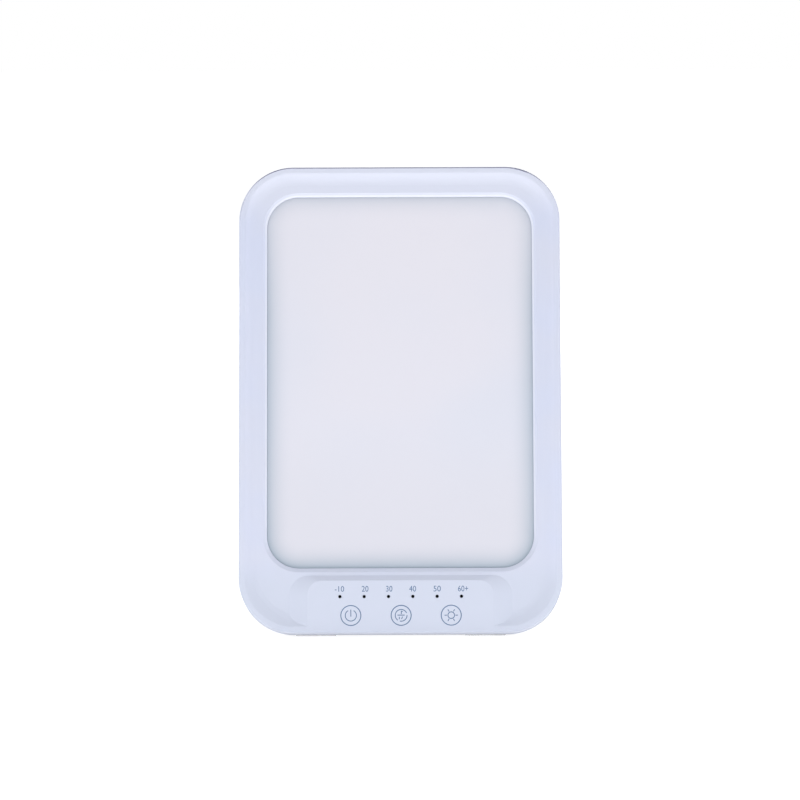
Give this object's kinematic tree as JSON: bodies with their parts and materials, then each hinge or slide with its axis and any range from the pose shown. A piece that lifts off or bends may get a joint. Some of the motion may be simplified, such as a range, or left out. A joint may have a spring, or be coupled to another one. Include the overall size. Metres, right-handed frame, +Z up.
{
  "type": "light therapy lamp",
  "caption": "Slim free-standing light therapy lamp: a moulded slab with an opal edge-lit window, touch keys and timer lights, held up by a fold-out leg at the back.",
  "frame": {"origin": "on the surface the lamp stands on, under the middle of its overall box", "axes": "+Z up, +X to the right as seen by someone facing the window, +Y away from them towards the leg"},
  "size_m": [0.16, 0.0798, 0.2295],
  "materials": {
    "housing_plastic": "fine satin, pale blue-white",
    "opal_sheet": "opal, slightly silky",
    "optical_film": "clear, finely ribbed",
    "acrylic": "clear, polished edges",
    "white_film": "matt white",
    "foam": "matt black foam",
    "sheet_metal": "mill finish",
    "strip_board": "white solder mask",
    "phosphor": "yellow phosphor in clear resin",
    "circuit_board": "green solder mask",
    "chip_epoxy": "matt black epoxy",
    "ferrite": "dark grey ferrite",
    "can_metal": "bright can",
    "nylon": "natural nylon",
    "flat_cable": "white film with tinned ends",
    "spring_steel": "bright",
    "smoked_plastic": "smoked, almost black when unlit",
    "black_plastic": "satin black",
    "plated_brass": "nickel plated",
    "steel": "zinc plated",
    "soft_rubber": "matt pale grey"
  },
  "bodies": {
    "housing": {"front_bezel": "housing_plastic", "rear_cover": "housing_plastic", "diffuser_panel": "opal_sheet", "prism_film": "optical_film", "light_guide_plate": "acrylic", "reflector_sheet": "white_film", "diffuser_gasket": "foam", "back_plate": "sheet_metal", "left_led_board": "strip_board", "right_led_board": "strip_board", "left_leds": "phosphor", "right_leds": "phosphor", "indicator_leds": "phosphor", "control_board": "circuit_board", "control_chip": "chip_epoxy", "driver_inductor": "ferrite", "storage_capacitors": "can_metal", "led_connectors": "nylon", "friction_washers": "nylon", "led_cables": "flat_cable", "touch_springs": "spring_steel", "indicator_light_pipe": "smoked_plastic", "dc_jack": "black_plastic", "dc_jack_pin": "plated_brass", "hinge_pins": "steel", "housing_screws": "steel", "plate_screws": "steel", "board_screws": "steel", "bottom_feet": "soft_rubber"},
    "stand": {"stand_leg": "housing_plastic", "stand_foot_pads": "soft_rubber"}
  },
  "joints": [
    {"name": "stand_hinge", "type": "hinge", "parent": "housing", "child": "stand", "pos_m": [0, 0.00839, 0.11358], "axis": [1, 0, 0], "range_deg": [-27, 0]}
  ]
}
